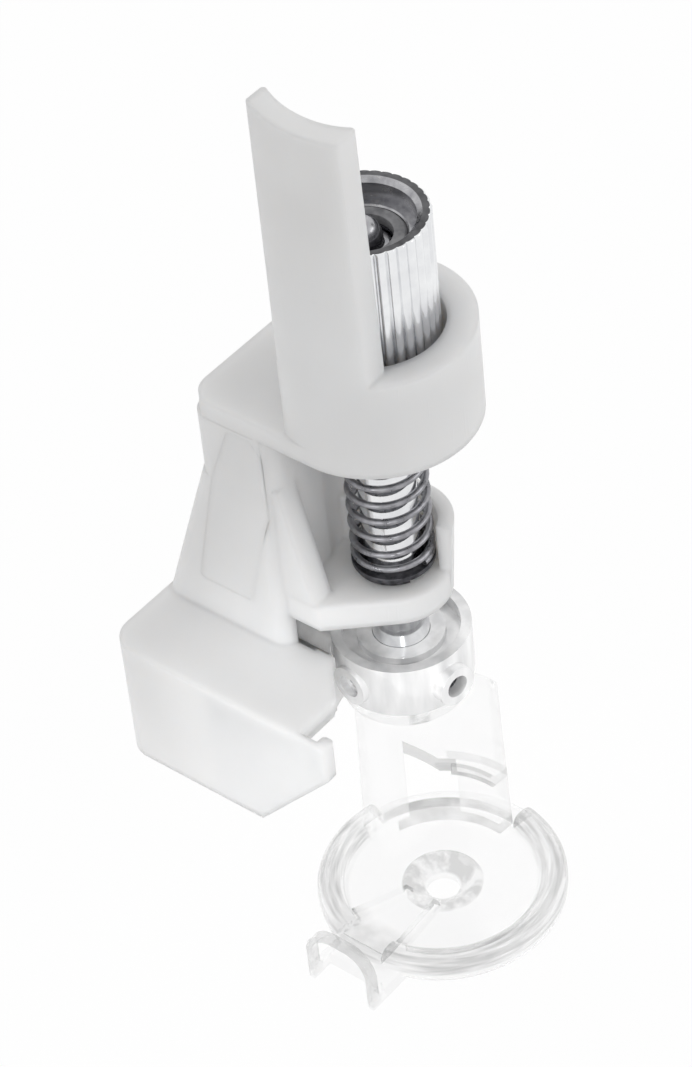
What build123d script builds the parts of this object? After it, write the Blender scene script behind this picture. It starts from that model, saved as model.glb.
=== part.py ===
import os
from math import cos, radians, sin, sqrt, tan

from build123d import *

os.makedirs("parts", exist_ok=True)

# A spring-action foot for free-motion work on a low-shank sewing machine.
# The origin is the centre of the needle hole, on the plane of the sole. +Z is up.
# -X points to the clamp that holds the presser bar, and -Y to the yarn guide.
# All lengths are in millimetres, and heights are counted from the sole.

# Where the parts stand about the needle
rod_back = 5.6
rod_side = 4.5
bar_from_rod_x = -8.6
bar_from_rod_y = 5.2

# Fits and clearances
slide_fit = 0.06
thread_fit = 0.03
screw_fit = 0.02
seat_gap = 0.3
face_gap = 0.02

# Travel of the foot by the nut, from the lowest setting that is modelled here
height_travel = 1.4

# Sliding rod
rod_radius = 2.0
rod_tip_recess = 1.5
rod_tip_radius = 0.95
rod_tip_height = 0.9
rod_end_chamfer = 0.25

# Clear foot
sole_radius = 8.85
sole_thickness = 1.0
rim_width = 1.9
rim_height = 2.2
needle_hole_radius = 1.2
funnel_radius = 2.5
funnel_depth = 0.8
boss_radius = 2.9
boss_height = 1.3
stem_inner_radius = 5.9
stem_outer_radius = 7.3
stem_top_radius = 6.8
stem_start_angle = 84.0
stem_end_angle = 178.0
window_start_angle = 118.0
window_end_angle = 147.0
window_bottom = 2.0
window_top = 6.1
window_rise = 2.4
ledge_height = 0.8
ledge_depth = 0.35
rim_gap_start_angle = 81.0
rim_gap_end_angle = 164.0
flange_thickness = 1.4
flange_margin = 0.45
spigot_height = 1.9

# Yarn guide in front of the sole
guide_reach = 11.6
guide_width = 5.7
guide_height = 5.0
guide_wall = 0.5
guide_depth = 0.7
rail_height = 1.1
groove_end_left = -3.3
groove_end_right = 1.4
groove_start_half = 0.9
groove_start = 2.2
groove_wall = 0.6
groove_wall_height = 1.7
groove_wall_end = 7.6

# Metal holder between the rod and the clear foot
holder_radius = 4.9
holder_wall = 0.75
holder_bottom = 15.5
holder_height = 4.1
holder_web = 1.2
holder_hub_radius = 3.1
set_boss_radius = 1.5
set_screw_rise = 1.8
rod_boss_reach = 0.7
foot_boss_reach = 0.3
set_screw_radius = 0.85
set_screw_socket_radius = 0.45
set_screw_socket_depth = 0.6
set_screw_sink = 0.2
rod_screw_angle = -10.0
foot_screw_angle = 262.0

# Guide pin that keeps the foot from turning
pin_radius = 0.95
pin_side = -2.6
pin_reach = 8.6
pin_height = 17.9
pin_seat = 0.6
pin_slot_right = -7.3
neck_wall = 1.0

# Moulded body
collar_radius = 7.0
collar_top = 46.6
collar_height = 7.6
collar_floor = 4.1
collar_left_wall = 1.05
tab_height = 19.7
tab_wall = 1.7
tab_left = -2.5
tab_right = 4.25
tab_round = 0.25
tab_tilt = 12.0
tab_taper = 0.35
arm_thickness = 1.4
arm_left = -10.6
arm_corner = 2.0
column_right = -3.9
column_front = -7.1
column_back = 5.0
column_round = 1.6
neck_right = -4.6
gusset_top = 33.8
panel_left = -9.2
panel_right = -4.6
panel_depth = 0.3
panel_bottom = 23.6
panel_lean = 2.4
rib_right = -1.7
rib_top = 34.5
rib_front = -6.6
rib_back = -4.7
spring_pocket_radius = 4.45
lug_top = 25.3
lug_thickness = 2.1
lug_radius = 3.9
lug_root_right = -1.5
lug_root_front = -6.5
guard_height = 3.9
guard_radius = 4.3
guard_start_angle = 20.0

# Clamp round the presser bar
clamp_left = -15.3
clamp_front = -13.3
clamp_top = 20.5
clamp_bottom = 10.3
clamp_round = 2.2
clamp_core_right = -6.4
seat_right = -3.0
seat_wall_behind = 0.4
plate_thickness = 0.45
shelf_thickness = 1.0
shelf_right = 1.6
shelf_back = -9.0
shelf_corner_x = -1.0
shelf_corner_y = -6.2
hook_right = 4.0
hook_width = 0.95
hook_length = 0.7
hook_height = 3.0
plate_corner_run = 6.5
bar_radius = 3.175
bar_fit = 0.075
bar_clearance = 0.525
bar_ease = 0.3
low_shank_height = 12.7
screw_slot_width = 4.2

# Adjusting nut
nut_radius = 4.6
nut_bottom_gap = 0.5
nut_well_gap = 0.35
nut_top = 55.2
nut_recess_radius = 3.6
nut_recess_depth = 1.6
nut_flutes = 36
nut_flute_radius = 0.36
nut_flute_offset = 0.2
nut_chamfer = 0.25
nut_foot_height = 1.2
nut_foot_radius = 4.3
ring_outer_radius = 2.9
ring_height = 0.7
washer_radius = 4.4

# Spring
spring_outer_radius = 2.9
spring_wire = 0.5
spring_turns = 9.5
spring_space = 0.3
clip_thickness = 0.4
clip_radius = 2.7
clip_groove_depth = 0.35
seat_washer_thickness = 0.4
seat_washer_radius = 2.9

# Heights and places that follow from the sizes above
rod_x = -rod_back
rod_y = rod_side
collar_bottom = collar_top - collar_height
nut_floor = collar_bottom + collar_floor
arm_bottom = collar_bottom
arm_top = arm_bottom + arm_thickness
tab_top = collar_top + tab_height
tab_inner_radius = collar_radius - tab_wall
lug_bottom = lug_top - lug_thickness
channel_radius = spring_outer_radius + spring_space
guard_top = lug_top + guard_height
holder_top = holder_bottom + holder_height
holder_inner_radius = holder_radius - holder_wall
web_bottom = holder_bottom + spigot_height + face_gap
web_top = web_bottom + holder_web
rod_bottom = web_bottom + face_gap
nut_bottom = nut_floor + nut_bottom_gap
rod_top = nut_top - rod_tip_recess
ring_bottom = nut_top - nut_recess_depth - ring_height
clip_bottom = lug_top + seat_gap
washer_bottom = clip_bottom + clip_thickness
spring_bottom = washer_bottom + seat_washer_thickness
spring_top = collar_bottom
holder_clearance = holder_radius + 0.5
boss_clearance = holder_radius + foot_boss_reach + 0.5
screw_height = low_shank_height + height_travel
foot_screw_tip = holder_hub_radius + screw_fit
nut_well_radius = nut_radius + nut_well_gap
collar_left_radius = nut_well_radius + collar_left_wall
set_screw_height = holder_bottom + set_screw_rise
far = 60.0

LOW = (Align.CENTER, Align.CENTER, Align.MIN)
at_rod = Pos(rod_x, rod_y, 0)


def disc(radius, low, high):
    return Pos(0, 0, low) * Cylinder(radius, high - low, align=LOW)


def block(x0, x1, y0, y1, z0, z1):
    box = Box(x1 - x0, y1 - y0, z1 - z0, align=(Align.MIN, Align.MIN, Align.MIN))
    return Pos(x0, y0, z0) * box


def polar(radius, angle):
    return radius * cos(radians(angle)), radius * sin(radians(angle))


def prism(points, low, high):
    face = make_face(Polyline(*points, close=True))
    return Pos(0, 0, low) * extrude(face, amount=high - low)


def wedge(start, end, low, high):
    """A pie slice about the Z axis, out to far, from one angle to another."""
    steps = max(2, int(abs(end - start) // 60) + 2)
    rim = [polar(far, start + (end - start) * i / (steps - 1)) for i in range(steps)]
    return prism([(0, 0)] + rim, low, high)


def side_hole(radius, angle, height, start, end):
    """A round bar that points outwards from the Z axis at one angle."""
    x, y = polar(start, angle)
    turn = Rot(0, 90, 0)
    rod = Cylinder(radius, end - start, align=LOW)
    return Pos(x, y, height) * Rot(0, 0, angle) * turn * rod


def upright_edges(solid, test):
    return [e for e in solid.edges().filter_by(Axis.Z) if test(e.center())]


# Moulded body, built about the rod's axis
def collar():
    """The round boss of the nut's well, with a thinner wall behind the tab."""
    boss = disc(collar_radius, collar_bottom, collar_top)
    behind_tab = block(-far, tab_left, -far, far, arm_top, collar_top)
    return boss - (behind_tab - disc(collar_left_radius, arm_top, collar_top))


def tab():
    wall = disc(collar_radius, nut_floor, tab_top + tab_wall) - disc(
        tab_inner_radius, nut_floor - 1, tab_top + far)
    sides = Polyline((tab_left, nut_floor - 1), (tab_right, nut_floor - 1),
                     (tab_right - tab_taper, tab_top + tab_wall), (tab_left, tab_top + tab_wall), close=True)
    wall &= extrude(Plane.XZ * make_face(sides), amount=far)
    wall = fillet([e for e in wall.edges() if e.length > tab_height], tab_round)
    middle = (tab_left + tab_right) / 2
    drop = (tab_right - middle + 1) * tan(radians(tab_tilt))
    above = Polyline((tab_left - 1, tab_top + drop), (tab_right + 1, tab_top - drop),
                     (tab_right + 1, tab_top + far), (tab_left - 1, tab_top + far), close=True)
    return wall - extrude(Plane.XZ * make_face(above), amount=far)


def arm():
    plate = block(arm_left, 0, -collar_radius, collar_radius, arm_bottom, arm_top)
    return fillet(upright_edges(plate, lambda c: c.X < arm_left + 0.1), arm_corner)


def panel():
    """The sunk panel in the front of the column, which leans back towards its top."""
    outline = Polyline((panel_left - panel_lean, panel_bottom), (panel_left, gusset_top),
                       (panel_left + panel_lean * 0.8, arm_bottom - 0.3),
                       (panel_right - 0.7, arm_bottom - 0.3), (panel_right, arm_bottom - 1.6),
                       (panel_right, 32.0), (panel_right - panel_lean, panel_bottom), close=True)
    slab = extrude(Plane.XZ.offset(-column_front - panel_depth) * make_face(outline), amount=2.0)
    return fillet(slab.edges().filter_by(Axis.Y), 0.4)


def rib():
    """The slope from the side of the column down to the root of the lug."""
    outline = Polyline((column_right - 0.5, rib_top), (column_right, rib_top),
                       (rib_right, lug_top), (column_right - 0.5, lug_top), close=True)
    solid = extrude(Plane.XZ.offset(-rib_back) * make_face(outline), amount=rib_back - rib_front)
    return solid - disc(spring_pocket_radius, lug_top - 1, rib_top + 1)


def column():
    tower = block(arm_left, column_right, column_front, column_back, clamp_top - 1, arm_bottom)
    tower = fillet(upright_edges(tower, lambda c: c.Y < 0), column_round)
    tower -= disc(spring_pocket_radius, lug_top, arm_bottom)
    tower -= block(neck_right, far, 0, far, 0, lug_bottom)
    foot = extrude(Plane.XZ.offset(-column_back) * make_face(Polyline(
        (arm_left + 2, gusset_top), (arm_left, gusset_top), (clamp_left, clamp_top),
        (clamp_left, clamp_top - 1), (arm_left + 2, clamp_top - 1), close=True)),
        amount=column_back - column_front)
    front = foot.edges().filter_by(lambda e: abs(e.center().Y - column_front) < 0.01)
    slope = front.filter_by(lambda e: e.center().X < arm_left and e.center().Z > clamp_top - 0.9)
    foot = fillet(slope, column_round * 0.8)
    return tower + foot + rib() - panel()


def lug():
    seat = Circle(lug_radius)
    root = Polyline((neck_right - 1, lug_root_front), (lug_root_right, lug_root_front),
                    (lug_root_right, lug_radius), (neck_right - 1, lug_radius), close=True)
    outline = make_hull(seat.edges() + root.edges())
    plate = Pos(0, 0, lug_bottom) * extrude(outline, amount=lug_thickness)
    back = block(neck_right - 1, 0, 0, guard_radius, lug_top, guard_top)
    flare = Pos(0, 0, lug_bottom) * Cone(lug_radius, guard_radius, guard_top - lug_bottom, align=LOW)
    guard = back + (flare & wedge(guard_start_angle, 180, lug_bottom, guard_top))
    return plate + guard - disc(channel_radius, lug_top, arm_bottom)


def shelf():
    """The thin top of the clamp, past its solid core."""
    points = [(clamp_core_right - 1, clamp_front), (shelf_right, clamp_front),
              (shelf_right, shelf_back), (shelf_corner_x, shelf_corner_y),
              (shelf_corner_x, column_front + 1.2), (clamp_core_right - 1, column_front + 1.2)]
    return prism(points, clamp_top - shelf_thickness, clamp_top)


def plate():
    """The thin front of the clamp, with a hooked end and its lower corner cut off."""
    wall = block(clamp_core_right, hook_right, clamp_front, clamp_front + plate_thickness,
                 clamp_bottom, clamp_top)
    hook = block(hook_right - hook_width, hook_right, clamp_front,
                 clamp_front + plate_thickness + hook_length, clamp_top - hook_height, clamp_top)
    hook = fillet(upright_edges(hook, lambda c: True), hook_width * 0.35)
    corner = extrude(Plane.XZ * make_face(Polyline(
        (hook_right - plate_corner_run, clamp_bottom - 1),
        (hook_right - plate_corner_run, clamp_bottom), (hook_right, clamp_top - hook_height),
        (far, clamp_top - hook_height), (far, clamp_bottom - 1), close=True)), amount=far)
    return wall + hook - corner


def clamp():
    core = block(clamp_left, clamp_core_right, clamp_front, column_front + 1.2, clamp_bottom, clamp_top)
    back = bar_from_rod_y + bar_radius + seat_wall_behind
    seat = block(clamp_left, seat_right, column_front, back, clamp_bottom, clamp_top)
    seat -= block(neck_right, far, column_front - 1, 0, clamp_bottom - 1, clamp_top - shelf_thickness)
    solid = core + seat
    solid = fillet(upright_edges(solid, lambda c: c.X < clamp_left + 0.1), clamp_round)
    return solid + shelf() + plate()


def holder_space():
    """The room in which the holder, its screws and the top of the clear foot move."""
    space = disc(holder_clearance, 0, lug_bottom)
    return space + (disc(boss_clearance, 0, lug_bottom) & wedge(foot_screw_angle - 26,
                                                                foot_screw_angle + 30, 0, lug_bottom))


def bar_space():
    place = Pos(bar_from_rod_x, bar_from_rod_y, 0)
    seat = bar_radius + bar_fit
    above = bar_radius + bar_clearance
    space = place * disc(seat, clamp_bottom - 1, clamp_top)
    space += block(bar_from_rod_x - seat, bar_from_rod_x + seat, bar_from_rod_y, far,
                   clamp_bottom - 1, clamp_top)
    space += Pos(0, bar_ease, 0) * place * disc(above, clamp_top, collar_top + 1)
    space += block(bar_from_rod_x - above, bar_from_rod_x + above, bar_from_rod_y, far,
                   clamp_top, arm_bottom)
    return space


def screw_slot():
    half = screw_slot_width / 2
    return block(clamp_left - 1, bar_from_rod_x, bar_from_rod_y - half, far,
                 screw_height - half, screw_height + half)


def pin_slot():
    """The slot that holds the end of the pin, and the wider room beside it."""
    half = pin_radius + slide_fit
    low = pin_height - half - 0.5
    slot = block(-pin_reach - seat_gap, pin_slot_right + 1, pin_side - half, pin_side + half, low,
                 lug_bottom)
    room = block(pin_slot_right, neck_right + 2, column_front + neck_wall, pin_side + half + 0.6,
                 low, lug_bottom)
    return slot + room


def body():
    solid = collar() + arm() + column() + clamp()
    solid -= holder_space()
    solid -= pin_slot()
    solid += lug()
    solid -= bar_space()
    solid -= screw_slot()
    solid -= disc(nut_well_radius, nut_floor, collar_top + 1)
    solid += tab()
    return solid - disc(rod_radius + slide_fit, clamp_top, collar_top)


# Pieces on the rod
def rod():
    shaft = disc(rod_radius, rod_bottom, rod_top - rod_tip_height)
    shaft = chamfer(shaft.edges().sort_by(Axis.Z)[-1], rod_end_chamfer)
    tip = disc(rod_tip_radius, rod_top - rod_tip_height, rod_top)
    shaft += fillet(tip.edges().sort_by(Axis.Z)[-1], rod_tip_radius * 0.8)
    groove = disc(rod_radius + 1, clip_bottom, washer_bottom)
    groove -= disc(rod_radius - clip_groove_depth, clip_bottom, washer_bottom)
    return shaft - groove


def retaining_clip():
    """An open ring that snaps into the groove of the rod."""
    inner = rod_radius - clip_groove_depth + screw_fit
    ring = disc(clip_radius, clip_bottom + face_gap, washer_bottom - face_gap)
    ring -= disc(inner, clip_bottom, washer_bottom)
    mouth = inner * 1.5
    return ring - block(0, far, -mouth / 2, mouth / 2, clip_bottom, washer_bottom)


def spring_washer():
    ring = disc(seat_washer_radius, washer_bottom, spring_bottom - face_gap)
    return ring - disc(rod_radius + slide_fit, washer_bottom, spring_bottom)


def spring():
    """One round wire with a closed turn at each end and even turns between them."""
    mean = spring_outer_radius - spring_wire / 2
    low = spring_bottom + spring_wire / 2
    high = spring_top - spring_wire / 2 - face_gap
    closed = spring_wire * 1.08
    active = (high - low - 2 * closed) / (spring_turns - 2)
    lead = Pos(0, 0, low) * Helix(closed, closed, mean)
    middle = Pos(0, 0, low + closed) * Helix(active, active * (spring_turns - 2), mean)
    turned = Rot(0, 0, 360 * spring_turns)
    tail = Pos(0, 0, high - closed) * turned * Helix(closed, closed, mean)
    turns = []
    for path in (lead, middle, tail):
        start = path @ 0
        section = Plane(origin=start, z_dir=path % 0) * Circle(spring_wire / 2)
        turns.append(sweep(section, path=path, is_frenet=True))
    return turns[0] + turns[1] + turns[2]


def holder():
    """A turned cup, with a hub for the rod and a boss round each set screw."""
    cup = disc(holder_radius, holder_bottom, holder_top)
    cup += side_hole(set_boss_radius, rod_screw_angle, set_screw_height, 0,
                     holder_radius + rod_boss_reach)
    cup += side_hole(set_boss_radius, foot_screw_angle, set_screw_height, 0,
                     holder_radius + foot_boss_reach)
    cup -= disc(holder_inner_radius, holder_bottom - 1, web_bottom)
    cup -= disc(holder_inner_radius, web_top, holder_top + 1)
    cup += disc(holder_hub_radius, web_bottom, web_top + 0.6)
    cup -= disc(rod_radius + screw_fit, holder_bottom - 1, holder_top + 1)
    return cup


def set_screw(angle, tip):
    """A headless screw with a socket, sunk well below its boss."""
    end = holder_radius - set_screw_sink
    screw = side_hole(set_screw_radius - screw_fit, angle, set_screw_height, tip, end)
    socket = side_hole(set_screw_socket_radius, angle, set_screw_height,
                       end - set_screw_socket_depth, end + 1)
    return screw - socket


def guide_pin():
    """A plain pin, pressed into the side of the holder and held by the body's slot."""
    inner = -sqrt(holder_radius ** 2 - pin_side ** 2) + pin_seat
    pin = Pos(inner, pin_side, pin_height) * Rot(0, -90, 0) * Cylinder(
        pin_radius, pin_reach + inner, align=LOW)
    return chamfer(pin.edges().sort_by(Axis.X)[0], 0.2)


# Clear foot, built about the needle's axis
def window():
    """The opening between the two legs of the wall, higher on the side of the clamp."""
    middle = (window_start_angle + window_end_angle) / 2
    half = stem_outer_radius * sin(radians((window_end_angle - window_start_angle) / 2))
    outline = Polyline((-half, window_bottom), (-half, window_top), (-half / 3, window_top),
                       (half, window_top + window_rise), (half, window_bottom), close=True)
    return Rot(0, 0, middle + 90) * extrude(Plane.XZ * make_face(outline), amount=far)


def stem():
    """The wall between the sole and the holder, with a spigot that fits the holder."""
    top = holder_bottom - face_gap
    wall = Cone(stem_outer_radius, stem_top_radius, top, align=LOW)
    wall -= disc(stem_inner_radius, -1, top + 1)
    lip = disc(stem_inner_radius + 0.1, window_top, window_top + ledge_height)
    lip -= disc(stem_inner_radius - ledge_depth, window_top, window_top + ledge_height)
    wall += lip & wedge(stem_start_angle, window_start_angle, window_top, window_top + ledge_height)
    wall &= wedge(stem_start_angle, stem_end_angle, sole_thickness / 2, top)
    wall -= window()
    flange = disc(holder_radius - flange_margin, holder_bottom - flange_thickness, top)
    spigot = disc(holder_inner_radius - slide_fit, holder_bottom - flange_thickness,
                  web_bottom - face_gap)
    for angle, tip in ((rod_screw_angle, rod_radius), (foot_screw_angle, foot_screw_tip)):
        spigot -= side_hole(set_screw_radius + 0.1, angle, set_screw_height, tip, far)
    return wall + at_rod * (flange + spigot)


def sole():
    plate = disc(sole_radius - rim_width / 2, 0, sole_thickness)
    ring = disc(sole_radius, 0, rim_height) - disc(sole_radius - rim_width, -1, rim_height + 1)
    ring = fillet(ring.edges().filter_by(GeomType.CIRCLE), rim_width * 0.42)
    ring -= wedge(rim_gap_start_angle, rim_gap_end_angle, sole_thickness, rim_height + 1)
    middle = disc(boss_radius, 0, boss_height)
    middle = fillet(middle.edges().sort_by(Axis.Z)[-1], 0.3)
    return plate + ring + middle


def funnel():
    cone = Cone(needle_hole_radius, funnel_radius, funnel_depth, align=LOW)
    cone = Pos(0, 0, boss_height - funnel_depth) * cone
    return cone + disc(needle_hole_radius, -1, boss_height)


def groove(margin, end, high):
    """The path of the yarn, which narrows from the rim to the needle hole."""
    points = [(groove_end_left - margin, -end), (groove_end_right + margin, -end),
              (groove_start_half + margin, -groove_start), (-groove_start_half - margin, -groove_start)]
    return prism(points, sole_thickness, high)


def arch():
    """The small open arch that the yarn is threaded through, on two rails from the sole."""
    half = guide_width / 2
    back = guide_depth - guide_reach
    outer = block(-half, half, -guide_reach, back, 0, guide_height)
    outer = fillet(outer.edges().filter_by(Axis.Y).filter_by(lambda e: e.center().Z > 1),
                   half * 0.8)
    outer += block(-half, half, -guide_reach, rim_width / 2 - sole_radius, 0, rail_height)
    inner_half = half - guide_wall
    inner = block(-inner_half, inner_half, -guide_reach - 1, back + 1, -1, guide_height - guide_wall)
    inner = fillet(inner.edges().filter_by(Axis.Y).filter_by(lambda e: e.center().Z > 2),
                   inner_half * 0.75)
    return outer - inner - block(-inner_half, inner_half, -guide_reach, -far + 50, -1, rail_height + 1)


def clear_foot():
    walls = groove(groove_wall, groove_wall_end, groove_wall_height)
    solid = sole() + stem() + walls
    solid -= groove(0, sole_radius + 1, rim_height + 1)
    return solid + arch() - funnel()


# Nut and its ring
def flute(index):
    angle = 360 * index / nut_flutes
    x, y = polar(nut_radius + nut_flute_offset, angle)
    return Pos(x, y, nut_bottom + nut_foot_height) * Cylinder(
        nut_flute_radius, nut_top - nut_bottom, align=LOW)


def adjusting_nut():
    knob = disc(nut_radius, nut_bottom, nut_top)
    knob = chamfer(knob.edges().sort_by(Axis.Z)[-1], nut_chamfer)
    knob -= [flute(i) for i in range(nut_flutes)]
    knob -= disc(nut_radius + 1, nut_bottom, nut_bottom + nut_foot_height) - disc(
        nut_foot_radius, nut_bottom, nut_bottom + nut_foot_height)
    knob -= disc(nut_recess_radius, nut_top - nut_recess_depth, nut_top)
    knob -= disc(ring_outer_radius + screw_fit, ring_bottom, nut_top)
    return knob - disc(rod_radius + thread_fit, nut_bottom, nut_top)


def lock_ring():
    """A soft ring in the top of the nut that grips the thread."""
    ring = disc(ring_outer_radius, ring_bottom + face_gap, ring_bottom + ring_height)
    ring = chamfer(ring.edges().filter_by(GeomType.CIRCLE).sort_by(Axis.Z)[-1], 0.15)
    return ring - disc(rod_radius + screw_fit, nut_bottom, nut_top)


def thrust_washer():
    ring = disc(washer_radius, nut_floor, nut_bottom - face_gap)
    return ring - disc(rod_radius + slide_fit, nut_floor - 1, nut_bottom)


def drilled_holder():
    cup = holder()
    cup -= side_hole(set_screw_radius, rod_screw_angle, set_screw_height,
                     rod_radius - 1, holder_radius + 2)
    cup -= side_hole(set_screw_radius, foot_screw_angle, set_screw_height,
                     rod_radius - 1, holder_radius + 2)
    return cup - guide_pin()


def parts():
    on_rod = {
        "body": body(),
        "rod": rod(),
        "adjusting_nut": adjusting_nut(),
        "lock_ring": lock_ring(),
        "thrust_washer": thrust_washer(),
        "spring": spring(),
        "spring_washer": spring_washer(),
        "retaining_clip": retaining_clip(),
        "holder": drilled_holder(),
        "rod_set_screw": set_screw(rod_screw_angle, rod_radius + screw_fit),
        "foot_set_screw": set_screw(foot_screw_angle, foot_screw_tip),
        "guide_pin": guide_pin(),
    }
    placed = {name: at_rod * solid for name, solid in on_rod.items()}
    placed["clear_foot"] = clear_foot()
    return placed


if __name__ == "__main__":
    for name, solid in parts().items():
        export_step(solid, f"parts/{name}.step")
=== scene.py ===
from math import atan2, cos, pi, radians, sin

import bmesh
import bpy
from mathutils import Matrix, Vector


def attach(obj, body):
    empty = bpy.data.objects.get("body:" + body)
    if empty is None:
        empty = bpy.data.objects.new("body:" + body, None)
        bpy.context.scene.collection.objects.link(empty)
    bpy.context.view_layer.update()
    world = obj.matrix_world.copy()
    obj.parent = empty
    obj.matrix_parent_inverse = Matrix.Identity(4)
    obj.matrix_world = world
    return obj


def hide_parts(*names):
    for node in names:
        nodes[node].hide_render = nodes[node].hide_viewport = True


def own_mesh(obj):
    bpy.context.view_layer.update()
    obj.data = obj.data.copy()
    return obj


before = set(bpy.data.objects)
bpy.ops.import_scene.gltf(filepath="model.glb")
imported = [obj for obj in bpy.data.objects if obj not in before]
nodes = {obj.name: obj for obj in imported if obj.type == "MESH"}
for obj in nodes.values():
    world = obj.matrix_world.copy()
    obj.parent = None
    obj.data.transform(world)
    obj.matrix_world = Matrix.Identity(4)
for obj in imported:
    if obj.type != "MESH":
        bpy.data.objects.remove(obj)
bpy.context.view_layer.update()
scene = bpy.context.scene
mm = 0.001
print("frame loaded:", len(nodes), "nodes")


# colours and node helpers

def linearFromHex(code, alpha=1.0):
    channels = [int(code[i:i + 2], 16) / 255 for i in (0, 2, 4)]
    linear = [c / 12.92 if c <= 0.04045 else ((c + 0.055) / 1.055) ** 2.4 for c in channels]
    return (*linear, alpha)


def addNode(tree, kind, links=None, stops=(), **values):
    # values are sockets by name, or node settings where no socket has the name;
    # a link's source is a socket, or a node for its first output; stops are a ramp's colours
    node = tree.nodes.new("ShaderNode" + kind)
    for key, value in values.items():
        name = key.replace("_", " ")
        if name in node.inputs:
            node.inputs[name].default_value = value
        else:
            setattr(node, key, value)
    for index, (position, code) in enumerate(stops):
        node.color_ramp.elements[index].position = position
        node.color_ramp.elements[index].color = linearFromHex(code)
    for target, source in (links or {}).items():
        tree.links.new(source if isinstance(source, bpy.types.NodeSocket) else source.outputs[0],
                       node.inputs[target])
    return node


def startMaterial(name):
    material = bpy.data.materials.new(name)
    material.use_nodes = True
    tree = material.node_tree
    tree.nodes.clear()
    return material, tree, addNode(tree, "TexCoord").outputs["Object"]


# materials

def mouldedNylon():
    # natural white PA66, injection moulded: milky, a little light goes in and comes out softened
    look = {"dark": "E2E2E2", "light": "E9E9E9", "flowMm": 14.0, "satinMm": 2.2, "rough": (0.36, 0.5),
            "grainMm": 0.09, "scratchMm": 0.25, "softMm": 0.7, "milkyMm": 2.6}
    material, tree, point = startMaterial("mouldedNylon")
    flow = addNode(tree, "TexNoise", {"Vector": point}, Scale=1 / (look["flowMm"] * mm), Detail=1.0,
                   Distortion=0.3)
    colour = addNode(tree, "ValToRGB", {"Fac": flow}, [(0.35, look["dark"]), (0.65, look["light"])])
    satin = addNode(tree, "TexNoise", {"Vector": point}, Scale=1 / (look["satinMm"] * mm), Detail=4.0)
    rough = addNode(tree, "MapRange", {"Value": satin}, From_Min=0.3, From_Max=0.7,
                    To_Min=look["rough"][0], To_Max=look["rough"][1])
    soft = addNode(tree, "Bevel", samples=6, Radius=look["softMm"] * mm)
    grain = addNode(tree, "TexNoise", {"Vector": point}, Scale=1 / (look["grainMm"] * mm))
    skin = addNode(tree, "Bump", {"Height": grain, "Normal": soft}, Strength=0.12, Distance=0.02 * mm)
    along = addNode(tree, "Mapping", {"Vector": point}, Scale=(1, 1, 0.05))
    scratch = addNode(tree, "TexNoise", {"Vector": along}, Scale=1 / (look["scratchMm"] * mm),
                      Detail=1.0, Distortion=0.2)
    worn = addNode(tree, "MapRange", {"Value": scratch}, From_Min=0.66, From_Max=0.74)
    scuffed = addNode(tree, "Bump", {"Height": worn, "Normal": skin}, Strength=0.25, Distance=0.02 * mm)
    shader = addNode(tree, "BsdfPrincipled", {"Base Color": colour, "Roughness": rough, "Normal": scuffed},
                     IOR=1.53, Subsurface_Weight=0.85, Subsurface_Radius=(1.0, 0.95, 0.9),
                     Subsurface_Scale=look["milkyMm"] * mm)
    addNode(tree, "OutputMaterial", {"Surface": shader})
    return material


def turnedMetal(name, look):
    # plated brass or steel seen close up: cloudy from oil and handling, with the fine lines of the
    # lathe or the die, and where it says so a painted darker reflection towards the foot, with a ragged edge
    material, tree, point = startMaterial(name)
    drawn = addNode(tree, "Mapping", {"Vector": point}, Scale=look.get("cloudStretch", (1, 1, 1)))
    cloud = addNode(tree, "TexNoise", {"Vector": drawn}, Scale=1 / (look["cloudMm"] * mm), Detail=4.0)
    colour = addNode(tree, "ValToRGB", {"Fac": cloud}, [(0.35, look["dark"]), (0.65, look["light"])])
    rough = addNode(tree, "MapRange", {"Value": cloud}, From_Min=0.3, From_Max=0.7,
                    To_Min=look["rough"][0], To_Max=look["rough"][1])
    # painted reflection: below a ragged line the colour darkens towards the foot
    if "darkReflectionMm" in look:
        low, high = look["darkReflectionMm"]
        upright = addNode(tree, "Mapping", {"Vector": point}, Scale=(1, 1, 0.02))
        ragged = addNode(tree, "TexNoise", {"Vector": upright}, Scale=1 / (look["raggedMm"] * mm), Detail=1.0)
        shift = addNode(tree, "MapRange", {"Value": ragged}, From_Min=0.3, From_Max=0.7,
                        To_Max=look["raggedHeightMm"] * mm)
        height = addNode(tree, "SeparateXYZ", {"Vector": point}).outputs[2]
        level = addNode(tree, "Math", {0: height, 1: shift}, operation="ADD")
        share = addNode(tree, "MapRange", {"Value": level}, From_Min=high * mm, From_Max=low * mm)
        colour = addNode(tree, "MixRGB", {"Fac": share, "Color1": colour}, blend_type="MULTIPLY",
                         Color2=linearFromHex(look["darkReflectionHex"]))
    stretched = addNode(tree, "Mapping", {"Vector": point}, Scale=look["stretch"])
    lines = addNode(tree, "TexNoise", {"Vector": stretched}, Scale=1 / (look["lineMm"] * mm))
    bump = addNode(tree, "Bump", {"Height": lines}, Strength=0.1, Distance=0.01 * mm)
    shader = addNode(tree, "BsdfPrincipled", {"Base Color": colour, "Roughness": rough, "Normal": bump},
                     Metallic=look["metallic"])
    addNode(tree, "OutputMaterial", {"Surface": shader})
    return material


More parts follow.
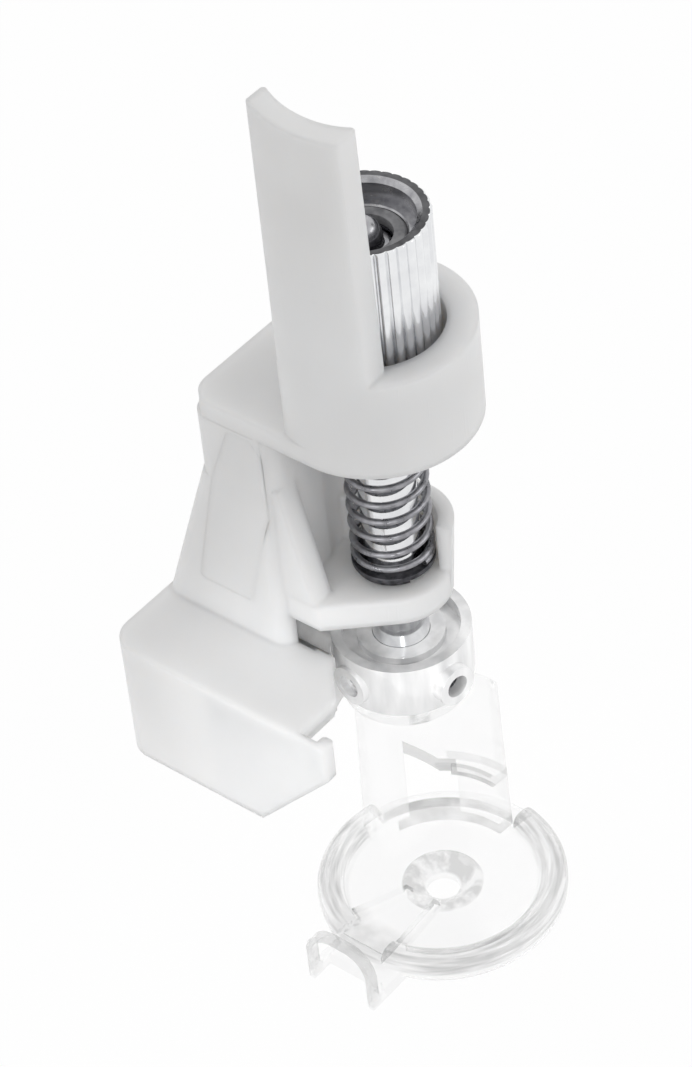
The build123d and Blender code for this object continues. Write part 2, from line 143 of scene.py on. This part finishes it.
def greyNylon():
    # the nylon insert of the nut: mid grey, matt, a little scuffed by the thread
    look = {"dark": "77777A", "light": "9C9C9E", "cloudMm": 0.6, "rough": (0.38, 0.55), "scuffMm": 0.12}
    material, tree, point = startMaterial("greyNylon")
    cloud = addNode(tree, "TexNoise", {"Vector": point}, Scale=1 / (look["cloudMm"] * mm), Detail=4.0)
    colour = addNode(tree, "ValToRGB", {"Fac": cloud}, [(0.35, look["dark"]), (0.65, look["light"])])
    rough = addNode(tree, "MapRange", {"Value": cloud}, From_Min=0.3, From_Max=0.7,
                    To_Min=look["rough"][0], To_Max=look["rough"][1])
    scuff = addNode(tree, "TexNoise", {"Vector": point}, Scale=1 / (look["scuffMm"] * mm))
    bump = addNode(tree, "Bump", {"Height": scuff}, Strength=0.2, Distance=0.01 * mm)
    shader = addNode(tree, "BsdfPrincipled", {"Base Color": colour, "Roughness": rough, "Normal": bump},
                     IOR=1.53)
    addNode(tree, "OutputMaterial", {"Surface": shader})
    return material


def clearPolycarbonate():
    # polished clear polycarbonate: flat faces vanish on white; the rim's long grey streaks are painted,
    # standing in for its refraction
    look = {"facing": 0.95, "grazing": 0.25, "streakMm": 0.34, "turnMm": 0.8, "rimInMm": 6.9,
            "rimOutMm": 8.9, "rimLowMm": 0.95, "backWay": (-0.636, 0.772, 0), "backShare": 0.25,
            "cutShare": 0.55, "wallInMm": 5.0, "wallOutMm": 7.5, "cutLowMm": 5.8, "cutHighMm": 8.9,
            "holeMm": 2.85, "holeLowMm": 0.5, "topMm": 2.4, "greyMottleMm": 1.2, "grey": "BCBCBC"}
    # soft grey places: how grey, how wide their edge is, lowest and highest x, y and z, all in mm
    hazy = [(0.5, 0.1, (-7.5, 7.5), (2.0, 7.5), (1.02, 2.1)),
            (0.4, 1.2, (-4.6, 2.4), (-9.4, -5.4), (0.1, 2.7)),
            (0.25, 0.2, (-3.2, 3.2), (-12.0, -10.6), (0.2, 5.2)),
            (0.3, 0.2, (-3.9, 1.8), (4.4, 7.7), (6.0, 6.98))]
    material, tree, point = startMaterial("clearPolycarbonate")
    parts = addNode(tree, "SeparateXYZ", {"Vector": point})
    level = addNode(tree, "CombineXYZ", {"X": parts.outputs[0], "Y": parts.outputs[1]})
    radius = addNode(tree, "VectorMath", {0: level}, operation="LENGTH").outputs["Value"]
    # the streaks run round the needle's axis: the noise turns slowly with the way out from that axis
    way = addNode(tree, "VectorMath", {0: level}, operation="NORMALIZE")
    turned = addNode(tree, "VectorMath", {0: way}, operation="SCALE", Scale=look["turnMm"] * mm)
    upright = addNode(tree, "CombineXYZ", {"Z": parts.outputs[2]})
    ringPoint = addNode(tree, "VectorMath", {0: turned, 1: upright}, operation="ADD")
    streaks = addNode(tree, "TexNoise", {"Vector": ringPoint, "W": radius}, noise_dimensions="4D",
                      Scale=1 / (look["streakMm"] * mm), Detail=2.0)
    streakShare = addNode(tree, "MapRange", {"Value": streaks}, From_Min=0.35, From_Max=0.7,
                          To_Min=0.1, To_Max=0.78)
    rimShare = streakShare
    for value, low, high in ((radius, look["rimInMm"] - 0.3, look["rimInMm"]),
                             (radius, look["rimOutMm"] + 0.1, look["rimOutMm"]),
                             (parts.outputs[2], look["rimLowMm"], look["rimLowMm"] + 0.15),
                             (parts.outputs[2], look["topMm"] + 0.1, look["topMm"])):
        inside = addNode(tree, "MapRange", {"Value": value}, From_Min=low * mm, From_Max=high * mm)
        rimShare = addNode(tree, "Math", {0: rimShare, 1: inside}, operation="MULTIPLY")
    # behind the wall the painted grey on the rim is weaker
    toBack = addNode(tree, "VectorMath", {0: way}, operation="DOT_PRODUCT")
    toBack.inputs[1].default_value = look["backWay"]
    front = addNode(tree, "MapRange", {"Value": toBack.outputs["Value"]}, From_Min=0.72, From_Max=0.62,
                    To_Min=look["backShare"])
    rimShare = addNode(tree, "Math", {0: rimShare, 1: front}, operation="MULTIPLY")
    # round the needle's hole a soft grey mottle is painted, standing in for refraction
    greyMottle = addNode(tree, "TexNoise", {"Vector": point}, Scale=1 / (look["greyMottleMm"] * mm), Detail=3.0)
    holeShare = addNode(tree, "MapRange", {"Value": greyMottle}, From_Min=0.4, From_Max=0.6,
                        To_Min=0.1, To_Max=0.55)
    for value, low, high in ((radius, look["holeMm"] + 0.1, look["holeMm"]),
                             (parts.outputs[2], look["holeLowMm"], look["holeLowMm"] + 0.1)):
        inside = addNode(tree, "MapRange", {"Value": value}, From_Min=low * mm, From_Max=high * mm)
        holeShare = addNode(tree, "Math", {0: holeShare, 1: inside}, operation="MULTIPLY")
    greyShare = addNode(tree, "Math", {0: rimShare, 1: holeShare}, operation="MAXIMUM")
    # the cut faces round the wall's window and ledge, which point neither in nor out, are painted grey for
    # the refraction they show
    normal = addNode(tree, "TexCoord").outputs["Normal"]
    outward = addNode(tree, "VectorMath", {0: normal, 1: way}, operation="DOT_PRODUCT").outputs["Value"]
    cut = addNode(tree, "MapRange", {"Value": addNode(tree, "Math", {0: outward}, operation="ABSOLUTE")},
                  From_Min=0.6, From_Max=0.3, To_Max=look["cutShare"])
    for value, low, high in ((radius, look["wallInMm"], look["wallInMm"] + 0.1),
                             (radius, look["wallOutMm"], look["wallOutMm"] - 0.1),
                             (parts.outputs[2], look["cutLowMm"], look["cutLowMm"] + 0.1),
                             (parts.outputs[2], look["cutHighMm"], look["cutHighMm"] - 0.1)):
        inside = addNode(tree, "MapRange", {"Value": value}, From_Min=low * mm, From_Max=high * mm)
        cut = addNode(tree, "Math", {0: cut, 1: inside}, operation="MULTIPLY")
    between = addNode(tree, "MapRange", {"Value": toBack.outputs["Value"]}, From_Min=0.7, From_Max=0.74)
    cut = addNode(tree, "Math", {0: cut, 1: between}, operation="MULTIPLY")
    greyShare = addNode(tree, "Math", {0: greyShare, 1: cut}, operation="MAXIMUM")
    for grey, fade, *ranges in hazy:
        patch = addNode(tree, "MapRange", {"Value": greyMottle}, From_Min=0.35, From_Max=0.6,
                        To_Min=grey * 0.5, To_Max=grey)
        for value, (low, high), soft in zip(parts.outputs, ranges, (fade, fade, 0.1)):
            for edge, far in ((low, low + soft), (high, high - soft)):
                inside = addNode(tree, "MapRange", {"Value": value}, From_Min=edge * mm, From_Max=far * mm)
                patch = addNode(tree, "Math", {0: patch, 1: inside}, operation="MULTIPLY")
        greyShare = addNode(tree, "Math", {0: greyShare, 1: patch}, operation="MAXIMUM")
    tint = addNode(tree, "ValToRGB", {"Fac": greyShare}, [(0.0, "FEFEFE"), (1.0, look["grey"])])
    bump = addNode(tree, "Bump", {"Height": streaks}, Strength=0.12, Distance=0.03 * mm)
    handled = addNode(tree, "TexNoise", {"Vector": point}, Scale=1 / (0.8 * mm), Detail=4.0)
    rough = addNode(tree, "MapRange", {"Value": handled}, From_Min=0.3, From_Max=0.7,
                    To_Min=0.015, To_Max=0.06)
    shader = addNode(tree, "BsdfPrincipled", {"Base Color": tint, "Roughness": rough, "Normal": bump},
                     IOR=1.585, Transmission_Weight=1.0)
    straight = addNode(tree, "BsdfTransparent", {"Color": tint})
    facing = addNode(tree, "LayerWeight", Blend=0.5).outputs["Facing"]
    share = addNode(tree, "MapRange", {"Value": facing}, From_Min=0.45, From_Max=0.85,
                    To_Min=look["facing"], To_Max=look["grazing"])
    mixed = addNode(tree, "MixShader", {0: share, 1: shader, 2: straight})
    addNode(tree, "OutputMaterial", {"Surface": mixed})
    return material


nylonWhite = mouldedNylon()
plateMirror = turnedMetal("mirrorPlateDrawn", {  # nickel-chrome plate: bright, with lines along the rod
    "dark": "DCDDDF", "light": "E9EAEB", "rough": (0.05, 0.1), "lineMm": 0.15, "stretch": (1, 1, 0.1),
    "cloudMm": 1.8, "metallic": 1.0})
plateKnurled = turnedMetal("mirrorPlateKnurled", {  # the same plate, with a painted darker reflection near the nut's foot
    "dark": "E4E5E7", "light": "F0F1F2", "rough": (0.05, 0.1), "lineMm": 0.15, "stretch": (1, 1, 0.1),
    "cloudMm": 1.8, "metallic": 1.0, "darkReflectionMm": (48.9, 50.6), "darkReflectionHex": "D4D4D6",
    "raggedMm": 0.5, "raggedHeightMm": 1.4})
plateSatin = turnedMetal("satinPlateTurned", {  # satin plate, with soft upright grey streaks of painted reflection
    "dark": "DCDCDD", "light": "FDFDFD", "rough": (0.16, 0.26), "lineMm": 0.1, "stretch": (0.3, 0.3, 6),
    "cloudMm": 1.9, "cloudStretch": (1, 1, 0.2), "metallic": 0.45})
steelGrey = turnedMetal("turnedSteel", {
    "dark": "8E8F91", "light": "B4B5B7", "rough": (0.25, 0.42), "lineMm": 0.12, "stretch": (1, 1, 6),
    "cloudMm": 0.9, "metallic": 1.0})
steelPaintedShade = turnedMetal("paintedShadeSteel", {  # darker steel: painted shade in the nut's recess and on the rod's top
    "dark": "96969A", "light": "BABABC", "rough": (0.16, 0.3), "lineMm": 0.12, "stretch": (1, 1, 6),
    "cloudMm": 0.9, "metallic": 1.0})
steelRim = turnedMetal("rimDarkReflectionPainted", {  # the nut's flat top: its dark reflection painted in as a darker colour
    "dark": "4A4A4C", "light": "666668", "rough": (0.28, 0.42), "lineMm": 0.12, "stretch": (1, 1, 6),
    "cloudMm": 0.9, "metallic": 0.9})
wireBlack = turnedMetal("oiledMusicWire", {  # blackened by its oil temper, with soft long highlights
    "dark": "808084", "light": "A0A0A4", "rough": (0.24, 0.4), "lineMm": 0.1, "stretch": (1, 1, 6),
    "cloudMm": 0.7, "metallic": 0.9})
screwBlack = turnedMetal("blackOxideSteel", {  # dull and dark, with bare metal showing on worn spots
    "dark": "2C2C30", "light": "5A5A5E", "rough": (0.35, 0.5), "lineMm": 0.1, "stretch": (1, 1, 6),
    "cloudMm": 0.5, "metallic": 0.8})
nylonGrey = greyNylon()
polycarbonateClear = clearPolycarbonate()
print("materials made")


# pieces that keep the CAD shape get softened edges and smooth curves

def finishPiece(bm, name, body, material, replaced, sharpAngle=38.0, more=()):
    mesh = bpy.data.meshes.new(name)
    for face in bm.faces:
        face.smooth = True
    bm.to_mesh(mesh)
    bm.free()
    mesh.set_sharp_from_angle(angle=radians(sharpAngle))
    for used in (material, *more):
        mesh.materials.append(used)
    piece = bpy.data.objects.new(name, mesh)
    scene.collection.objects.link(piece)
    weigh = piece.modifiers.new("evenShading", "WEIGHTED_NORMAL")
    weigh.keep_sharp = True
    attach(piece, body)
    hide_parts(*replaced)
    print("piece:", name, len(mesh.polygons), "faces")
    return piece


def mergedCopy(nodeName, flatAngle=0.6):
    bm = bmesh.new()
    bm.from_mesh(nodes[nodeName].data)
    bmesh.ops.remove_doubles(bm, verts=bm.verts, dist=0.001 * mm)
    bmesh.ops.dissolve_limit(bm, angle_limit=radians(flatAngle), verts=bm.verts, edges=bm.edges)
    return bm


def softenEdges(bm, cornerAngle, width, segments):
    corners = [e for e in bm.edges if len(e.link_faces) == 2
               and e.calc_face_angle(0.0) > radians(cornerAngle)]
    bmesh.ops.bevel(bm, geom=corners, offset=width, offset_type="OFFSET", segments=segments,
                    profile=0.5, affect="EDGES", clamp_overlap=True, material=-1)


bracketShape = {"corner": 32.0, "edge": 0.16 * mm, "steps": 3, "panelFloor": -2.3 * mm,
                "panelLow": 23.0 * mm, "panelRight": -10.0 * mm, "panelRise": 0.2 * mm}


def makeBracket():
    s = bracketShape
    bm = mergedCopy("body")
    # the sunk panel shows only faintly
    sunk = [v for v in bm.verts if abs(v.co.y - s["panelFloor"]) < 0.02 * mm
            and v.co.z > s["panelLow"] and v.co.x < s["panelRight"]]
    bmesh.ops.translate(bm, verts=sunk, vec=(0, -s["panelRise"], 0))
    softenEdges(bm, s["corner"], s["edge"], s["steps"])
    return finishPiece(bm, "mouldedBracket", "frame", nylonWhite, ["body"])


makeBracket()

rodAxis = Vector((-5.6 * mm, 4.5 * mm, 0))

rodShape = {"paintedShadeFrom": 36.0 * mm, "corner": 40.0, "edge": 0.08 * mm, "tipFrom": 52.8 * mm,
            "tipRadius": 1.0 * mm, "tipGrow": (1.42, 1.42, 2.2)}


def makeRod():
    s = rodShape
    bm = mergedCopy("rod")
    tip = [v for v in bm.verts if v.co.z > s["tipFrom"] - 0.01 * mm
           and (v.co.xy - rodAxis.xy).length < s["tipRadius"]]
    bmesh.ops.scale(bm, verts=tip, vec=s["tipGrow"],
                    space=Matrix.Translation((-rodAxis.x, -rodAxis.y, -s["tipFrom"])))
    softenEdges(bm, s["corner"], s["edge"], 2)
    bmesh.ops.bisect_plane(bm, geom=bm.faces[:] + bm.edges[:] + bm.verts[:],
                           plane_co=(0, 0, s["paintedShadeFrom"]), plane_no=(0, 0, 1))
    # painted shade: above this height the rod takes the darker steel
    for face in bm.faces:
        face.material_index = int(face.calc_center_median().z > s["paintedShadeFrom"])
    return finishPiece(bm, "slidingRod", "foot", plateMirror, ["rod"],
                       more=[steelPaintedShade])


makeRod()

smallPieces = [
    # node, piece, body, slot, material, corner in degrees, edge in mm, steps
    ("holder", "holderCup", "foot", "bright_chrome", plateSatin, 40, 0.1, 2),
    ("guide_pin", "guidePin", "foot", "bright_chrome", plateSatin, 40, 0.04, 2),
    ("rod_set_screw", "rodSetScrew", "foot", "screw_steel", screwBlack, 40, 0.05, 2),
    ("foot_set_screw", "footSetScrew", "foot", "bright_chrome", plateSatin, 40, 0.05, 2),
    ("spring_washer", "springWasher", "foot", "spring_steel", screwBlack, 40, 0.05, 2),
    ("retaining_clip", "retainingClip", "foot", "spring_steel", screwBlack, 40, 0.05, 2),
    ("thrust_washer", "thrustWasher", "nut_carrier", "plain_steel", steelGrey, 40, 0.05, 2),
    ("lock_ring", "lockRing", "nut", "ring_nylon", nylonGrey, 30, 0.05, 2),
    ("clear_foot", "clearFoot", "foot", "clear_plastic", polycarbonateClear, 35, 0.16, 3),
]

for node, piece, body, slotName, material, corner, edge, steps in smallPieces:
    copied = mergedCopy(node)
    softenEdges(copied, corner, edge * mm, steps)
    finishPiece(copied, piece, body, material, [node])


# the adjusting nut, with the rounded ribs of a straight knurl

nutShape = {"radius": 4.6 * mm, "flutes": 36, "perFlute": 8, "fluteDepth": 0.24 * mm,
            "bottom": 43.6 * mm, "footTop": 44.7 * mm, "footRadius": 4.3 * mm,
            "top": 55.2 * mm, "rim": 0.2 * mm, "lead": 0.35 * mm, "recessRadius": 3.6 * mm,
            "recessFloor": 53.6 * mm, "ringRadius": 2.92 * mm, "ringFloor": 52.9 * mm, "bore": 2.03 * mm}


def makeNut():
    s = nutShape
    count = s["flutes"] * s["perFlute"]
    bm = bmesh.new()
    bmesh.ops.create_circle(bm, cap_ends=False, segments=count, radius=s["footRadius"],
                            matrix=Matrix.Translation((0, 0, s["bottom"])))
    # each step gives the height and radius of the next ring, and how deep the flutes are there
    steps = [(s["footTop"] - 0.15 * mm, s["footRadius"], 0), (s["footTop"], s["footRadius"] + 0.1 * mm, 0),
             (s["footTop"] + 0.12 * mm, s["radius"] - 0.12 * mm, 0.6),
             (s["footTop"] + 0.3 * mm, s["radius"], 1), (s["top"] - s["rim"], s["radius"], 1),
             (s["top"] - 0.05 * mm, s["radius"] - 0.07 * mm, 0.7),
             (s["top"], s["radius"] - 0.16 * mm, 0.35),
             (s["top"], s["radius"] - 0.5 * mm, 0), (s["top"], s["recessRadius"] + s["lead"], 0),
             (s["top"] - s["lead"], s["recessRadius"], 0), (s["recessFloor"], s["recessRadius"], 0),
             (s["recessFloor"], s["ringRadius"] + 0.1 * mm, 0),
             (s["recessFloor"] - 0.1 * mm, s["ringRadius"], 0), (s["ringFloor"], s["ringRadius"], 0),
             (s["ringFloor"], s["bore"], 0), (s["bottom"], s["bore"], 0)]
    ring = list(bm.edges)
    first = ring
    for height, radius, deep in steps:
        made = bmesh.ops.extrude_edge_only(bm, edges=ring)["geom"]
        ring = [g for g in made if isinstance(g, bmesh.types.BMEdge)]
        for vert in {v for e in ring for v in e.verts}:
            flat = Vector((vert.co.x, vert.co.y, 0)).normalized()
            wave = abs(sin(atan2(flat.y, flat.x) * s["flutes"] / 2)) ** 0.55
            vert.co = flat * (radius - deep * s["fluteDepth"] * (1 - wave)) + Vector((0, 0, height))
    bmesh.ops.bridge_loops(bm, edges=ring + first)
    bmesh.ops.translate(bm, verts=bm.verts, vec=rodAxis)
    bmesh.ops.recalc_face_normals(bm, faces=bm.faces)
    # plate outside, painted shade in darker steel inside, and a painted dark reflection on the flat top
    for face in bm.faces:
        middle = face.calc_center_median()
        inside = (middle.xy - rodAxis.xy).length < s["recessRadius"] + s["lead"]
        if middle.z > s["top"] - 0.02 * mm:
            face.material_index = 2
        elif inside and middle.z > s["bottom"]:
            face.material_index = 1
    return finishPiece(bm, "knurledNut", "nut", plateKnurled, ["adjusting_nut"], 30.0,
                       more=[steelPaintedShade, steelRim])


makeNut()


# the spring, one round wire with its end turns wound close

springShape = {"outer": 2.9 * mm, "wire": 0.5 * mm, "low": 26.4 * mm, "high": 38.98 * mm, "turns": 9.5,
               "closed": 1.08, "around": 12, "perTurn": 40, "travel": 2.0 * mm}


def makeSpring():
    s = springShape
    mean = s["outer"] - s["wire"] / 2
    start = s["low"] + s["wire"] / 2
    end = s["high"] - s["wire"] / 2
    closeRise = s["wire"] * s["closed"]
    openRise = (end - start - 2 * closeRise) / (s["turns"] - 2)
    bm = bmesh.new()
    bmesh.ops.create_circle(bm, cap_ends=True, segments=s["around"], radius=s["wire"] / 2,
                            matrix=Matrix.Translation((mean, 0, start)) @ Matrix.Rotation(pi / 2, 4, "X"))
    geom = bm.faces[:] + bm.edges[:] + bm.verts[:]
    for turns, rise in ((1, closeRise), (s["turns"] - 2, openRise), (1, closeRise)):
        steps = int(turns * s["perTurn"])
        made = bmesh.ops.spin(bm, geom=geom, cent=(0, 0, 0), axis=(0, 0, 1),
                              dvec=(0, 0, rise * turns / steps), angle=2 * pi * turns, steps=steps,
                              use_merge=False, use_duplicate=False)
        geom = made["geom_last"]
    bmesh.ops.remove_doubles(bm, verts=bm.verts, dist=0.0005 * mm)
    bmesh.ops.translate(bm, verts=bm.verts, vec=rodAxis)
    bmesh.ops.recalc_face_normals(bm, faces=bm.faces)
    spring = finishPiece(bm, "coilSpring", "frame", wireBlack, ["spring"], 50.0)
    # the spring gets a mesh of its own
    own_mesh(spring)
    return spring


makeSpring()


# camera at the photograph's place

cameraView = {"azimuth": 42.86, "elevation": 41.935, "roll": -6.297, "distance": 265.447 * mm,
              "aim": Vector((-5.878 * mm, 0.291 * mm, 31.007 * mm)), "lens": 89.972, "frameHeight": 24.0}


def placeCamera():
    s = cameraView
    az, el, roll = (radians(s[k]) for k in ("azimuth", "elevation", "roll"))
    back = Vector((sin(az) * cos(el), -cos(az) * cos(el), sin(el)))
    right = Vector((cos(az), sin(az), 0))
    up = back.cross(right)
    turnedRight = cos(roll) * right + sin(roll) * up
    turnedUp = -sin(roll) * right + cos(roll) * up
    data = bpy.data.cameras.new("photoCamera")
    data.sensor_fit = "VERTICAL"
    data.sensor_height = s["frameHeight"]
    data.lens = s["lens"]
    data.clip_start = 0.01
    camera = bpy.data.objects.new("photoCamera", data)
    scene.collection.objects.link(camera)
    place = s["aim"] + back * s["distance"]
    camera.matrix_world = Matrix((
        (turnedRight.x, turnedUp.x, back.x, place.x), (turnedRight.y, turnedUp.y, back.y, place.y),
        (turnedRight.z, turnedUp.z, back.z, place.z), (0, 0, 0, 1)))
    scene.camera = camera


placeCamera()
print("camera placed")


# floor, backdrop and studio light

studio = {"floorDrop": 0.4 * mm, "floorSize": 1.6, "ambient": 0.72, "floorHex": "F6F6F6",
          "floorGlow": 0.97, "flagHex": "7C7C7C"}


def seenDirectly(tree):
    # 1 for the camera, and for what shows in metal and through clear plastic
    path = addNode(tree, "LightPath")
    mirrored = addNode(tree, "Math", {0: path.outputs["Is Camera Ray"], 1: path.outputs["Is Glossy Ray"]},
                       operation="MAXIMUM")
    return addNode(tree, "Math", {0: mirrored, 1: path.outputs["Is Transmission Ray"]}, operation="MAXIMUM")


def makeFloor():
    bm = bmesh.new()
    bmesh.ops.create_grid(bm, x_segments=1, y_segments=1, size=studio["floorSize"])
    bmesh.ops.translate(bm, verts=bm.verts, vec=(0, 0, -studio["floorDrop"]))
    mesh = bpy.data.meshes.new("paperFloor")
    bm.to_mesh(mesh)
    bm.free()
    floor = bpy.data.objects.new("paperFloor", mesh)
    scene.collection.objects.link(floor)
    # white sweep paper: the camera, metal and clear plastic see it lit up to white
    material, tree = startMaterial("paperSweep")[:2]
    matt = addNode(tree, "BsdfDiffuse", Color=linearFromHex(studio["floorHex"]))
    glow = addNode(tree, "Emission", Color=(1, 1, 1, 1), Strength=1.0)
    share = addNode(tree, "Math", {0: seenDirectly(tree)}, operation="MULTIPLY")
    share.inputs[1].default_value = studio["floorGlow"]
    mixed = addNode(tree, "MixShader", {0: share, 1: matt, 2: glow})
    addNode(tree, "OutputMaterial", {"Surface": mixed})
    mesh.materials.append(material)


def makeWorld():
    world = bpy.data.worlds.new("studioWorld")
    world.use_nodes = True
    tree = world.node_tree
    tree.nodes.clear()
    strength = addNode(tree, "MapRange", {"Value": seenDirectly(tree)}, To_Min=studio["ambient"], To_Max=1.0)
    light = addNode(tree, "Background", {"Strength": strength}, Color=(1, 1, 1, 1))
    addNode(tree, "OutputWorld", {"Surface": light})
    scene.world = world


softboxes = [
    # name, azimuth and elevation in degrees, distance and size in m, watts
    ("sideBox", 118, 14, 0.45, 0.25, 0.3),
]

aimPoint = Vector((-6 * mm, 1 * mm, 30 * mm))

spots = [
    # name, azimuth, elevation, distance, aim, cone in degrees, size in m, watts
    ("lowSpot", -8, 20, 0.4, Vector((-8 * mm, -10 * mm, 9 * mm)), 6.2, 0.008, 2.5),
    ("fillSpot", 5, 12, 0.4, Vector((-6 * mm, -3 * mm, 41 * mm)), 7.0, 0.008, 0.7),
    ("lugSpot", 35, 2, 0.4, Vector((-3 * mm, 0, 21 * mm)), 3.6, 0.008, 1.1),
    ("cupSpot", 43, 40, 0.4, Vector((-4 * mm, -2 * mm, 14 * mm)), 4.4, 0.008, 1.8),
]

flags = [
    # grey cards out of view, which the bright metal reflects: azimuth, elevation, distance and size in m
    ("sideFlag", 150, 30, 0.4, 0.1),
    ("lowFlag", -30, 20, 0.4, 0.05),
]


def facingPlace(azimuth, elevation, distance, aim=aimPoint):
    az, el = radians(azimuth), radians(elevation)
    way = Vector((sin(az) * cos(el), -cos(az) * cos(el), sin(el)))
    turn = way.to_track_quat("Z", "Y").to_matrix().to_4x4()
    return Matrix.Translation(aim + way * distance) @ turn


def makeLights():
    for name, azimuth, elevation, distance, size, watts in softboxes:
        data = bpy.data.lights.new(name, "AREA")
        data.size = size
        data.energy = watts
        lamp = bpy.data.objects.new(name, data)
        scene.collection.objects.link(lamp)
        lamp.matrix_world = facingPlace(azimuth, elevation, distance)
    for name, azimuth, elevation, distance, aim, cone, size, watts in spots:
        data = bpy.data.lights.new(name, "SPOT")
        data.energy = watts
        data.spot_size = radians(cone)
        data.spot_blend = 1.0
        data.shadow_soft_size = size
        lamp = bpy.data.objects.new(name, data)
        scene.collection.objects.link(lamp)
        lamp.matrix_world = facingPlace(azimuth, elevation, distance, aim)
    material, tree = startMaterial("greyFlagCard")[:2]
    matt = addNode(tree, "BsdfDiffuse", Color=linearFromHex(studio["flagHex"]))
    addNode(tree, "OutputMaterial", {"Surface": matt})
    for name, azimuth, elevation, distance, size in flags:
        bm = bmesh.new()
        bmesh.ops.create_grid(bm, x_segments=1, y_segments=1, size=size / 2)
        bmesh.ops.transform(bm, matrix=facingPlace(azimuth, elevation, distance), verts=bm.verts)
        mesh = bpy.data.meshes.new(name)
        bm.to_mesh(mesh)
        bm.free()
        mesh.materials.append(material)
        card = bpy.data.objects.new(name, mesh)
        card.visible_camera = False
        card.visible_transmission = False
        card.visible_diffuse = False
        card.visible_shadow = False
        scene.collection.objects.link(card)


makeFloor()
makeWorld()
makeLights()
scene.view_settings.view_transform = "Standard"
print("studio made")
